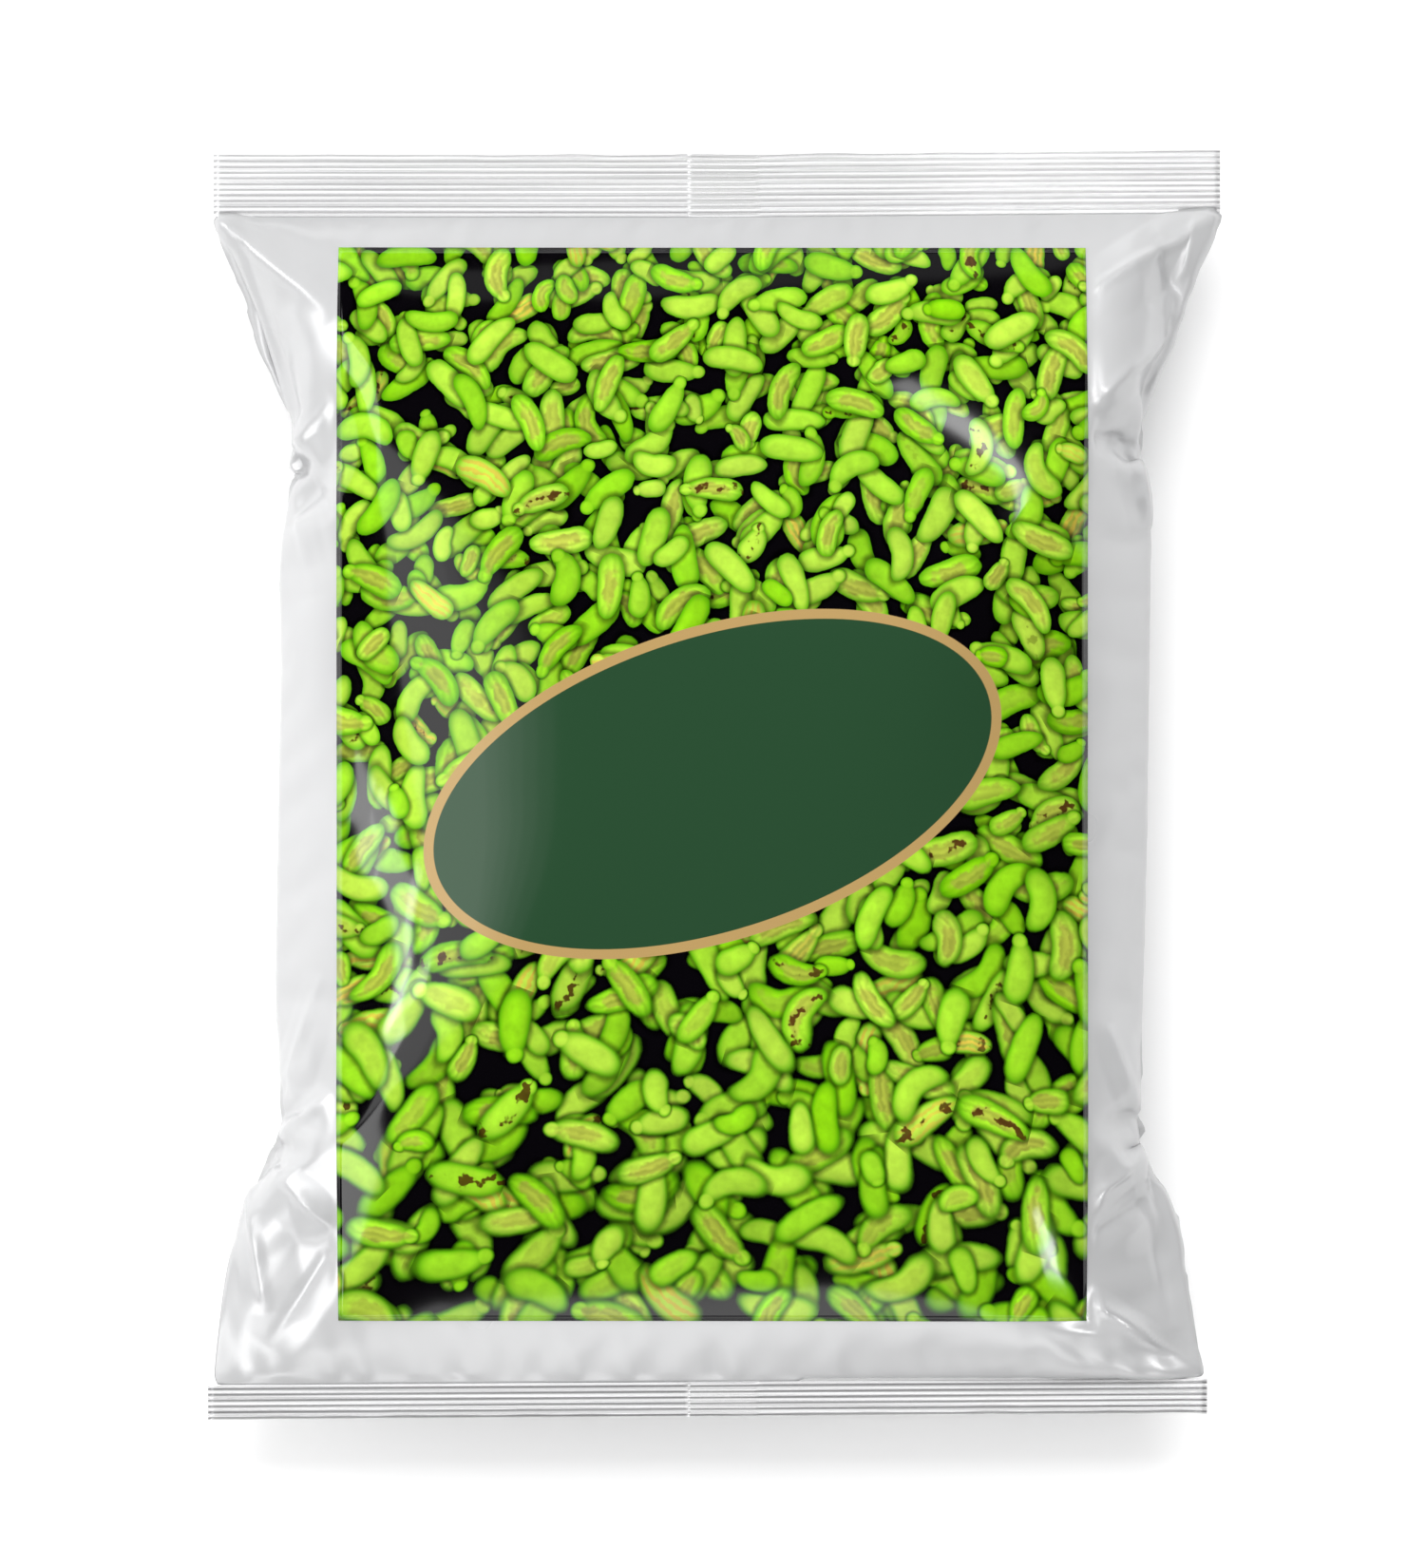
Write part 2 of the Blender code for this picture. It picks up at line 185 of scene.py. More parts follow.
def drawn_in(tube):
    """Adds the shape key that draws the tube's ends and sides in, and pins them to it."""
    tube.shape_key_add(name="Basis")
    key = tube.shape_key_add(name="drawn in")
    held = tube.vertex_groups.new(name="held")
    for index, vertex in enumerate(tube.data.vertices):
        x, y, z = vertex.co / SIM_SCALE
        at_end = abs(abs(y) - FLAT_LENGTH / 2) < 1e-5
        at_side = abs(abs(x) - FLAT_WIDTH / 2) < 1e-5
        new_y = MIDDLE + y * (HALF_LENGTH * 2 / FLAT_LENGTH)
        if at_side:
            new_y = float(drawn_height(y))
            x = outline(RIGHT_OUTLINE, new_y) if x > 0 else -outline(LEFT_OUTLINE, new_y)
        elif at_end:
            left, right = -outline(LEFT_OUTLINE, new_y), outline(RIGHT_OUTLINE, new_y)
            x = left + (x / FLAT_WIDTH + 0.5) * (right - left)
        if at_end:
            new_y += float(seal_rise(x, new_y))
        key.data[index].co = Vector((x, new_y, z)) * SIM_SCALE
        if at_end or at_side:
            held.add([index], 1.0, "REPLACE")
    key.value = 0
    key.keyframe_insert("value", frame=1)
    key.value = 1
    key.keyframe_insert("value", frame=DRAW_IN)


def blow_up(tube):
    """Fills the tube over a flat surface, and returns the mesh that results."""
    bpy.ops.mesh.primitive_plane_add(size=8, location=(0, 0, FLOOR_GAP * SIM_SCALE))
    surface = bpy.context.object
    surface.modifiers.new("surface", "COLLISION")
    surface.collision.thickness_outer = 0.001
    surface.collision.cloth_friction = 2
    cloth = tube.modifiers.new("cloth", "CLOTH")
    cloth.point_cache.frame_start, cloth.point_cache.frame_end = 1, FRAMES
    film = cloth.settings
    film.vertex_group_mass = "held"
    film.quality = 8
    film.mass = 0.01
    film.air_damping = 1
    film.tension_stiffness = film.compression_stiffness = 60
    film.shear_stiffness = 30
    film.bending_stiffness = 0.3
    film.tension_damping = film.compression_damping = film.shear_damping = 5
    film.use_pressure = True
    film.uniform_pressure_force = 8
    film.effector_weights.gravity = 0
    cloth.collision_settings.distance_min = 0.002
    scene = bpy.context.scene
    for step in range(1, FRAMES + 1):
        scene.frame_set(step)
    mesh = evaluated_mesh(tube)
    scene.frame_set(1)
    for used in (tube, surface):
        bpy.data.objects.remove(used)
    return mesh


PUCKER = 0.11  # the size of the gathers beside the crimps, in millimetres


def pucker(points):
    """Small gathers that run out of both crimps, along the film's height."""
    waves = random_waves(random.Random(3), 9, (0.4, 1.7), 0.4)
    x, y, z = points.T / MM
    depth = np.zeros_like(x)
    for line, reach in ((TOP_LINE / MM, 2.5), (BOTTOM_LINE / MM, 5.0)):
        away = np.abs(y - line)
        gather = sum(size * np.sin(pitch * x + phase + 0.3 * away) for pitch, phase, size in waves)
        depth += PUCKER * gather * np.exp(-away / reach) * smooth(0, 1.5, away)
    side = np.where(z > SEAL_PLANE / MM, 1, -1)
    moved = points.copy()
    moved[:, 2] += depth * side * MM
    return moved


# Sharp folds that run out of the corners and the pinches: both ends of the ridge, its height, and how
# far it slopes off to the left and to the right of it, in millimetres
FOLDS = (((-79, 90), (-60, 74), 1.3, 4, 9), ((-77, 84), (-68, 56), -1.1, 4, 4),
         ((-67, 53), (-60, 61), 0.9, 3, 7), ((-66, 51), (-60, 42), -0.7, 3, 6),
         ((-67, 47), (-63, 30), 0.6, 3, 4),
         ((79, 90), (57, 76), 1.7, 6, 5), ((71, 84), (74, 75), -1.4, 3, 5),
         ((62, 62), (72, 73), 1.5, 8, 4), ((66, 54), (58, 55), -1.3, 3, 6),
         ((66, 52), (69, 40), 1.3, 4, 3), ((76, 87), (69, 66), 1.0, 3, 4),
         ((-73, -64), (-71, -84), 1.5, 6, 4), ((-67, -63), (-60, -70), 1.4, 3, 6),
         ((-62, -75), (-71, -89), -1.0, 5, 5), ((-68, -56), (-60, -49), 1.3, 3, 5),
         ((-69, -57), (-74, -66), -1.1, 3, 3), ((-67, -46), (-62, -30), 0.7, 3, 4),
         ((57, -80), (78, -94), 1.7, 3, 8), ((66, -60), (57, -67), 1.4, 4, 4),
         ((68, -66), (58, -73), -1.0, 3, 4), ((67, -57), (75, -76), 1.1, 4, 3),
         ((70, -73), (73, -86), -0.7, 4, 5), ((67, -52), (62, -38), 0.8, 3, 4))
CREST = 1.3  # half the width of the sharp crest on each fold, in millimetres
CREST_SHARE = 0.35  # its height, as a share of the fold's
FOLD_START = 0.25  # a fold is an arch that starts a quarter of the way along, and so starts high


def folded(points, normals):
    """The points with the sharp folds pressed in: as listed on the front, and mirrored on the back."""
    side = np.where(points[:, 2] > SEAL_PLANE, 1, -1)
    spots = points[:, :2] / MM * np.column_stack((side, np.ones(len(side))))
    depth = np.zeros(len(points))
    for start, end, height, left, right in FOLDS:
        start, along = np.array(start, float), np.subtract(end, start).astype(float)
        length = np.hypot(*along)
        along /= length
        away = spots - start
        run = np.clip(away @ along, 0, length)
        aside = away - run[:, None] * along
        left_of = (along[0] * away[:, 1] - along[1] * away[:, 0]) > 0
        off = np.hypot(*aside.T)
        ridge = np.clip(1 - off / np.where(left_of, left, right), 0, 1)
        ridge = ridge + CREST_SHARE * np.clip(1 - off / CREST, 0, 1)
        arch = np.sin(math.pi * np.clip(FOLD_START + run / length * (1 - FOLD_START), 0, 1)) ** 0.7
        depth += height * ridge * arch
    beyond = beside_label(points[:, 0], points[:, 1]) / MM
    depth *= smooth(-0.2, 1.6, beyond)  # none of them under the label
    return points + normals * (depth * MM)[:, None]


def refine_ears(mesh):
    """Splits the faces of the front that show beside the label, where the folds have to be crisp."""
    bm = bmesh.new()
    bm.from_mesh(mesh)
    overlap = 1 * MM
    shown = {vertex for vertex in bm.verts if vertex.co.z > SEAL_PLANE - overlap
             and beside_label(vertex.co.x, vertex.co.y) > -overlap}
    edges = [edge for edge in bm.edges if edge.verts[0] in shown and edge.verts[1] in shown]
    old = set(bm.verts)
    bmesh.ops.subdivide_edges(bm, edges=edges, cuts=1, use_grid_fill=True)
    inner = [vertex for vertex in bm.verts if vertex.co.z > SEAL_PLANE + 2 * overlap
             and (vertex in shown or vertex not in old)]
    for _ in range(2):
        bmesh.ops.smooth_vert(bm, verts=inner, factor=0.5, use_axis_x=True, use_axis_y=True, use_axis_z=True)
    bm.to_mesh(mesh)
    bm.free()
    mesh.update()


def pouch_film():
    """The blown-up film as a smooth skin."""
    tube = flat_tube()
    drawn_in(tube)
    skin = blow_up(tube)
    points = np.array([vertex.co[:] for vertex in skin.vertices]) / SIM_SCALE
    faces = [tuple(polygon.vertices) for polygon in skin.polygons]
    bpy.data.meshes.remove(skin)
    film = mesh_object("film", points, faces)
    sharp = film.data.attributes.new("crease_edge", "FLOAT", "EDGE")
    for edge in film.data.edges:
        ends = [points[index][1] for index in edge.vertices]
        welded = min(ends) > TOP_LINE - 0.1 * MM or max(ends) < BOTTOM_LINE + 0.1 * MM
        sharp.data[edge.index].value = 1.0 if welded else 0.0
    smoothed = film.vertex_groups.new(name="smoothed")
    for vertex in film.data.vertices:
        if vertex.co.z > SEAL_PLANE:
            away = beside_label(vertex.co.x, vertex.co.y) / MM
            smoothed.add([vertex.index], float(1 - smooth(-1, 5, away)), "REPLACE")
    even = film.modifiers.new("even", "SMOOTH")
    even.vertex_group, even.factor, even.iterations = smoothed.name, 0.5, EVENED
    finer = film.modifiers.new("finer", "SUBSURF")
    finer.levels = finer.render_levels = 1
    mesh = evaluated_mesh(film)
    bpy.data.objects.remove(film)
    refine_ears(mesh)
    normals = np.array([vertex.normal[:] for vertex in mesh.vertices])
    points = pucker(folded(np.array([vertex.co[:] for vertex in mesh.vertices]), normals))
    points[:, 2] = np.maximum(points[:, 2], FLOOR_GAP)
    faces = [tuple(polygon.vertices) for polygon in mesh.polygons]
    return mesh_object("film", points, faces)


# What is fitted to the film

LABEL_GAP, LABEL_THICKNESS = 0.06 * MM, 0.10 * MM
LABEL_TRIM = 0.35 * MM  # the label lies nearer the camera than the seals, and so looks larger than it is
LABEL_STEPS = 5  # smoothing steps of its heights
FIN_LEFT, FIN_RIGHT = -4.2 * MM, 6.5 * MM
FIN_GAP, FIN_THICKNESS = 0.04 * MM, 0.30 * MM
# The band where the fin is pressed into the crimps: its edges, and how far it stands out
BAND_LEFT, BAND_RIGHT = (FIN_LEFT, FIN_LEFT + 0.25 * MM), (FIN_RIGHT, FIN_RIGHT + 0.8 * MM)
BAND_FRONT, BAND_BACK = 0.14 * MM, 0.3 * MM
# Where the crimps start and end, and their number of ribs
TOP_CRIMP = (TOP_LINE - 0.1 * MM, TOP_EDGE, 11)
BOTTOM_CRIMP = (BOTTOM_LINE + 0.1 * MM, BOTTOM_EDGE, 6)
# The depth of their ribs, and their left and right ends
TOP_SIZE = (0.2 * MM, -79.6 * MM, 80.4 * MM)
BOTTOM_SIZE = (0.26 * MM, -80.5 * MM, 78.3 * MM)
CRIMP_THIN, CRIMP_MORE = 0.04 * MM, 0.18 * MM  # half a crimp's thickness at the film, and more outwards
CRIMP_WAVE = 0.10 * MM  # how far it sways up and down
CRIMP_CUT = 0.05 * MM  # how unevenly it was cut


class Surface:
    """Heights of the film's front and back over points of the floor."""

    def __init__(self, film):
        self.tree = BVHTree.FromPolygons([v.co for v in film.data.vertices],
                                         [tuple(p.vertices) for p in film.data.polygons])

    def front(self, x, y):
        return self.tree.ray_cast(Vector((x, y, 1)), Vector((0, 0, -1)))[0].z

    def back(self, x, y):
        return self.tree.ray_cast(Vector((x, y, -1)), Vector((0, 0, 1)))[0].z


def evened(level, steps):
    """The heights of a grid with the film's small facets smoothed away."""
    for _ in range(steps):
        level[1:-1, 1:-1] += (level[:-2, 1:-1] + level[2:, 1:-1] + level[1:-1, :-2] + level[1:-1, 2:]
                              - 4 * level[1:-1, 1:-1]) / 8
        level[[0, -1], 1:-1] += (level[[0, -1], :-2] + level[[0, -1], 2:] - 2 * level[[0, -1], 1:-1]) / 4
        level[1:-1, [0, -1]] += (level[:-2, [0, -1]] + level[2:, [0, -1]] - 2 * level[1:-1, [0, -1]]) / 4
    return level


def sheet_faces(wide, high, upwards=True):
    """The faces of a sheet: high rows of wide points, as many again for its underside, and a rim between."""
    under = wide * high
    faces = []
    for j in range(high - 1):
        for i in range(wide - 1):
            quad = (j * wide + i, j * wide + i + 1, (j + 1) * wide + i + 1, (j + 1) * wide + i)
            faces += [quad, tuple(index + under for index in reversed(quad))]
    rim = list(range(wide)) + [j * wide + wide - 1 for j in range(1, high)]
    rim += [(high - 1) * wide + i for i in range(wide - 2, -1, -1)]
    rim += [j * wide for j in range(high - 2, 0, -1)]
    for near, far in zip(rim, rim[1:] + rim[:1]):
        faces.append((near, near + under, far + under, far))
    return faces if upwards else [face[::-1] for face in faces]


def sheet_on(name, xs, ys, height, gap, thickness, steps=0):
    """A thin sheet over the grid xs by ys that follows height(x, y) at a gap, with rims and an underside."""
    level = evened(np.array([[height(x, y) for x in xs] for y in ys]), steps)
    slope_y, slope_x = np.gradient(level, ys, xs)
    normals = np.dstack((-slope_x, -slope_y, np.ones_like(level)))
    normals /= np.linalg.norm(normals, axis=2, keepdims=True)
    grid = np.dstack((*np.meshgrid(xs, ys), level))
    points = np.concatenate([(grid + normals * lift).reshape(-1, 3) for lift in (gap + thickness, gap)])
    return mesh_object(name, points, sheet_faces(len(xs), len(ys)))


def label(surface):
    """The label on the film's front."""
    step = 1.0 * MM
    width, height = LABEL_HIGH.x - LABEL_LOW.x, LABEL_HIGH.y - LABEL_LOW.y
    xs = np.linspace(LABEL_LOW.x, LABEL_HIGH.x - 2 * LABEL_TRIM, round(width / step))
    ys = np.linspace(LABEL_LOW.y + LABEL_TRIM, LABEL_HIGH.y - LABEL_TRIM, round(height / step))
    return sheet_on("label", xs, ys, surface.front, LABEL_GAP, LABEL_THICKNESS, LABEL_STEPS)


def crimp(name, inner, outer, ribs, depth, left, right):
    """A ribbed seal. The folded fin is pressed into it at the back, and shows through as a band."""
    per_rib = 8
    rows = ribs * per_rib + 1
    xs = np.linspace(left, right, 150)
    xs = np.unique(np.concatenate((xs, BAND_LEFT, BAND_RIGHT)))
    waves = random_waves(random.Random(name), 6, (40, 260), 0.3)
    x, along = np.meshgrid(xs, np.linspace(0, 1, rows))
    y = inner + along * (outer - inner)
    away = np.abs(y - inner)
    band = smooth(*BAND_LEFT, x) * (1 - smooth(*BAND_RIGHT, x))
    wavy = sum(size * np.sin(pitch * x + phase + 60 * y) for pitch, phase, size in waves)
    z = SEAL_PLANE + CRIMP_WAVE * wavy * smooth(0, 4 * MM, away)
    z = z + BAND_FRONT * band * smooth(0, 1.5 * MM, away)
    rib = np.sin(math.tau * along * ribs)
    fine = np.sin(math.tau * along * ribs * 2 + 0.5)
    ribbed = np.sign(rib) * np.abs(rib) ** 0.7 * (1 - band) + 0.5 * fine * band
    z = z + depth * ribbed
    trim = sum(size * np.sin(3 * pitch * x + phase) for pitch, phase, size in waves)
    y = y + seal_rise(x, y) + np.sign(outer) * CRIMP_CUT * trim * along ** 4
    half = CRIMP_THIN + CRIMP_MORE * smooth(0, 1 * MM, away)
    front = np.dstack((x, y, z + half))
    back = np.dstack((x, y, z - half - BAND_BACK * band * smooth(0, 1 * MM, away)))
    points = np.concatenate((front.reshape(-1, 3), back.reshape(-1, 3)))
    return mesh_object(name, points, sheet_faces(len(xs), rows, upwards=outer > inner))


def fin_seal(surface):
    """The fin seal, folded flat against the back."""
    xs = np.linspace(FIN_LEFT, FIN_RIGHT, 9)
    ys = np.linspace(BOTTOM_LINE + 0.2 * MM, TOP_LINE - 0.2 * MM, 160)
    return sheet_on("fin_seal", xs, ys, surface.back, -FIN_GAP - FIN_THICKNESS, FIN_THICKNESS)


# Materials


class Nodes:
    """Short calls that add nodes to one material."""

    def __init__(self, material):
        material.use_nodes = True
        self.tree = material.node_tree
        self.shader = self.tree.nodes["Principled BSDF"]

    def add(self, kind, inputs=(), **settings):
        """Adds a node, sets its settings and its inputs, and returns it."""
        node = self.tree.nodes.new("ShaderNode" + kind)
        for name, value in settings.items():
            setattr(node, name, value)
        for key, value in dict(inputs).items():
            self.put(node.inputs[key], value)
        return node

    def put(self, socket, value):
        """Sets a socket to a value, or links another socket to it."""
        if isinstance(value, bpy.types.NodeSocket):
            self.tree.links.new(value, socket)
        else:
            socket.default_value = value

    def maths(self, operation, *values):
        return self.add("Math", dict(enumerate(values)), operation=operation).outputs[0]

    def vector(self, operation, *values):
        return self.add("VectorMath", dict(enumerate(values)), operation=operation).outputs[0]

    def fade(self, value, start, end, low=0.0, high=1.0):
        """Goes smoothly from low to high as the value goes from start to end."""
        return self.add("MapRange", {0: value, 1: start, 2: end, 3: low, 4: high},
                        interpolation_type="SMOOTHSTEP").outputs[0]

    def mix(self, share, a, b, blend="MIX"):
        node = self.add("Mix", {0: share, 6: a, 7: b}, data_type="RGBA", blend_type=blend)
        return node.outputs[2]


PRINT_LIGHT = 1.62  # how bright a white sheet that lies flat is, against full white in the picture


def printed(red, green, blue):
    """The linear colour that shows as these sRGB numbers of 0 to 255 where the pouch lies level."""
    shares = (red / 255, green / 255, blue / 255)
    linear = [c / 12.92 if c <= 0.04045 else ((c + 0.055) / 1.055) ** 2.4 for c in shares]
    return (*(c / PRINT_LIGHT for c in linear), 1.0)


# The printed seeds: layers of square cells with one seed each, in millimetres
LAYERS = 7
CELL_SIDE = 10.2
SEED_HALF = (4.95, 1.95)  # of the largest seed: a seed never leaves its cell
KEPT = 0.94  # the share of cells that have a seed
EDGE_TOP, EDGE_BOTTOM = 0.08, 0.4  # the lower part of the picture is out of focus
FOCUS = (20.0, -85.0)  # the heights between which it gets so
SEEN_SMALLER, SLANT = 0.91, 0.00165  # the bed is seen at a slant: lower down it is nearer and larger
LIGHT_ANGLE = math.radians(128)
GAP = (8, 6, 10)  # the dark colour below all layers


def seed_cells(nodes, place, turn, corner):
    """Where a point is from the middle of its cell in a turned grid, and twelve dice thrown for it."""
    grid = nodes.add("Mapping", {"Vector": place, "Rotation": (0, 0, turn), "Location": (*corner, 0),
                                 "Scale": (CELL_SIDE, CELL_SIDE, 1)}, vector_type="TEXTURE").outputs[0]
    row = nodes.maths("FLOOR", nodes.add("SeparateXYZ", {0: grid}).outputs[1])
    slide = nodes.add("TexWhiteNoise", {"W": row}, noise_dimensions="1D").outputs["Value"]
    grid = nodes.vector("ADD", grid, nodes.add("CombineXYZ", {0: slide}).outputs[0])
    cell = nodes.vector("FLOOR", grid)
    dice = []
    for shift in ((0, 0, 0), (0.5, 0.25, 0), (0.25, 0.75, 0), (0.125, 0.5, 0)):
        shifted = nodes.vector("ADD", cell, shift)
        thrown = nodes.add("TexWhiteNoise", {"Vector": shifted}, noise_dimensions="2D")
        dice += list(nodes.add("SeparateColor", {0: thrown.outputs["Color"]}).outputs)
    local = nodes.vector("SUBTRACT", nodes.vector("FRACTION", grid), (0.5, 0.5, 0))
    return nodes.vector("MULTIPLY", local, (CELL_SIDE, CELL_SIDE, 0)), dice


def seed_layer(nodes, place, blur, grain, below, number):
    """Paints one layer of seeds that lie all ways over what is below."""
    draw = random.Random(40 + number)
    grid_turn = draw.uniform(0, math.pi)
    local, dice = seed_cells(nodes, place, grid_turn, (draw.uniform(200, 900), draw.uniform(200, 900)))

    # Its size, its place in the cell and the way it lies
    size = nodes.fade(dice[0], -0.15, 0.6, 0.42, 1.0)
    length = nodes.maths("MULTIPLY", size, SEED_HALF[0])
    width = nodes.maths("MULTIPLY", nodes.maths("MULTIPLY_ADD", dice[1], 0.22, 0.84),
                        nodes.maths("MULTIPLY_ADD", size, 0.5 * SEED_HALF[1], 0.5 * SEED_HALF[1]))
    room = nodes.maths("SUBTRACT", CELL_SIDE / 2, length)
    aside = nodes.add("CombineXYZ", {0: nodes.maths("MULTIPLY_ADD", dice[2], 2.0, -1.0),
                                     1: nodes.maths("MULTIPLY_ADD", dice[4], 2.0, -1.0)}).outputs[0]
    aside = nodes.add("VectorMath", {0: aside, "Scale": room}, operation="SCALE").outputs[0]
    turn = nodes.maths("MULTIPLY", dice[3], math.tau)
    local = nodes.add("VectorRotate", {"Vector": nodes.vector("SUBTRACT", local, aside), "Angle": turn},
                      rotation_type="Z_AXIS").outputs[0]
    local = nodes.add("SeparateXYZ", {0: local}).outputs

    # Bent round a point beside the seed
    bend = nodes.maths("MULTIPLY_ADD", nodes.maths("POWER", dice[5], 2.2), 1.15, 0.12)
    radius = nodes.maths("DIVIDE", length, bend)
    beside = nodes.maths("SUBTRACT", radius, nodes.maths("MULTIPLY_ADD", bend, 0.8, local[1]))
    swing = nodes.maths("ARCTAN2", local[0], beside)
    away = nodes.maths("SQRT", nodes.maths("ADD", nodes.maths("MULTIPLY", local[0], local[0]),
                                           nodes.maths("MULTIPLY", beside, beside)))
    along = nodes.maths("DIVIDE", swing, bend)
    across = nodes.maths("DIVIDE", nodes.maths("SUBTRACT", radius, away), width)
    taper = nodes.maths("MULTIPLY_ADD", nodes.maths("MULTIPLY_ADD", dice[6], 0.5, -0.25), along, 1.0)
    tapered = nodes.maths("MULTIPLY", across, taper)
    body = nodes.maths("ADD", nodes.maths("POWER", nodes.maths("ABSOLUTE", along), 3.0),
                       nodes.maths("MULTIPLY", tapered, tapered))

    # Some end in a small knob
    knobby = nodes.fade(dice[6], 0.5, 0.55)
    shorter = nodes.maths("DIVIDE", nodes.maths("ADD", along, 0.1), 0.9)
    short_body = nodes.maths("ADD", nodes.maths("POWER", nodes.maths("ABSOLUTE", shorter), 2.6),
                             nodes.maths("MULTIPLY", tapered, tapered))
    knob_along = nodes.maths("MULTIPLY", nodes.maths("SUBTRACT", along, 0.76), 4.2)
    knob_across = nodes.maths("MULTIPLY", across, 1.75)
    knob = nodes.maths("ADD", nodes.maths("MULTIPLY", knob_along, knob_along),
                       nodes.maths("MULTIPLY", knob_across, knob_across))
    joined = nodes.maths("SMOOTH_MIN", short_body, knob, 0.3)
    reach = nodes.add("Mix", {0: knobby, 2: body, 3: joined}).outputs[0]
    gone = nodes.maths("GREATER_THAN", dice[7], KEPT)
    reach = nodes.maths("MULTIPLY_ADD", gone, 9.0, nodes.maths("MULTIPLY_ADD", grain, 0.3, reach))

    # Its light and shade, and the shadow round it
    mask = nodes.fade(reach, nodes.maths("SUBTRACT", 1.0, blur), nodes.maths("ADD", 1.0, blur), 1.0, 0.0)
    shadow = nodes.fade(reach, 0.9, 2.1, 0.28, 1.0)
    dome = nodes.maths("SQRT", nodes.maths("MAXIMUM", nodes.maths("SUBTRACT", 1.0, reach), 0.0))
    facing = nodes.maths("COSINE", nodes.maths("ADD", turn, LIGHT_ANGLE - grid_turn - math.pi / 2))
    lit = nodes.maths("MULTIPLY", nodes.maths("MULTIPLY", across, facing), 0.16)
    lines = nodes.maths("MULTIPLY_ADD", across, 11.0, nodes.maths("MULTIPLY_ADD", grain, 7.0, dice[1]))
    relief = nodes.maths("MULTIPLY", nodes.fade(dice[8], 0.5, 1.0, 0.0, 0.14),
                         nodes.maths("MULTIPLY", nodes.maths("SINE", lines), dome))
    tone = nodes.maths("ADD", nodes.maths("MULTIPLY_ADD", dome, 0.36, 0.56), nodes.maths("ADD", lit, relief))
    depth_light = 0.62 + 0.22 * number / LAYERS
    tone = nodes.maths("MULTIPLY", tone, nodes.maths("MULTIPLY_ADD", dice[9], 0.2, depth_light))
    tone = nodes.maths("MULTIPLY", tone, nodes.maths("MULTIPLY_ADD", grain, 0.6, 1.1))

    # Green, with an olive face on some, yellow stripes on the ripe, a deep green edge and sore spots
    hue = nodes.mix(dice[10], printed(160, 240, 18), printed(212, 252, 84))
    face = nodes.maths("MULTIPLY_ADD", along, nodes.maths("MULTIPLY", along, 1.6),
                       nodes.maths("MULTIPLY", nodes.maths("MULTIPLY", across, across), 2.4))
    face = nodes.fade(nodes.maths("MULTIPLY_ADD", grain, 1.6, face), 0.35, 0.95, 1.0, 0.0)
    face = nodes.maths("MULTIPLY", face, nodes.fade(dice[8], 0.55, 0.8, 0.0, 0.7))
    hue = nodes.mix(face, hue, printed(190, 182, 78))
    ripe = nodes.maths("MULTIPLY", nodes.fade(dice[10], 0.94, 0.96),
                       nodes.fade(nodes.maths("SINE", lines), -0.4, 0.6))
    hue = nodes.mix(nodes.maths("MULTIPLY", ripe, 0.8), hue, printed(240, 206, 80))
    hue = nodes.mix(nodes.fade(reach, 0.3, 1.0, 0.0, 0.85), hue, printed(104, 208, 0))
    sore = nodes.maths("MULTIPLY_ADD", grain, 3.4, nodes.maths("ABSOLUTE", across))
    sore = nodes.fade(sore, 0.05, -0.25, 0.0, 0.9)
    sore = nodes.maths("MULTIPLY", sore, nodes.fade(dice[11], 0.94, 0.96))
    hue = nodes.mix(sore, hue, printed(84, 0, 14))
    painted = nodes.add("VectorMath", {0: hue, "Scale": tone}, operation="SCALE").outputs[0]
    shaded = nodes.add("VectorMath", {0: below, "Scale": shadow}, operation="SCALE").outputs[0]
    return nodes.mix(mask, shaded, painted)


BADGE_CENTRE = (-0.3, 0.0)  # millimetres
BADGE_HALF = (47.1, 24.5)
BADGE_TURN = math.radians(18)
BADGE_RIM = 1.6


def badge(nodes, place, below):
    """The bare oval badge with its tan rim."""
    turned = nodes.add("VectorRotate", {"Vector": place, "Center": (*BADGE_CENTRE, 0),
                                        "Angle": -BADGE_TURN}).outputs[0]
    turned = nodes.vector("SUBTRACT", turned, (*BADGE_CENTRE, 0))

    def inside(half_x, half_y):
        ratio = nodes.vector("DIVIDE", turned, (half_x, half_y, 1))
        ratio = nodes.vector("MULTIPLY", ratio, (1, 1, 0))
        length = nodes.add("VectorMath", {0: ratio}, operation="LENGTH").outputs["Value"]
        return nodes.fade(length, 0.998, 1.002, 1.0, 0.0)

    rimmed = nodes.mix(inside(*BADGE_HALF), below, printed(197, 163, 104))
    return nodes.mix(inside(*(half - BADGE_RIM for half in BADGE_HALF)), rimmed, printed(44, 80, 52))


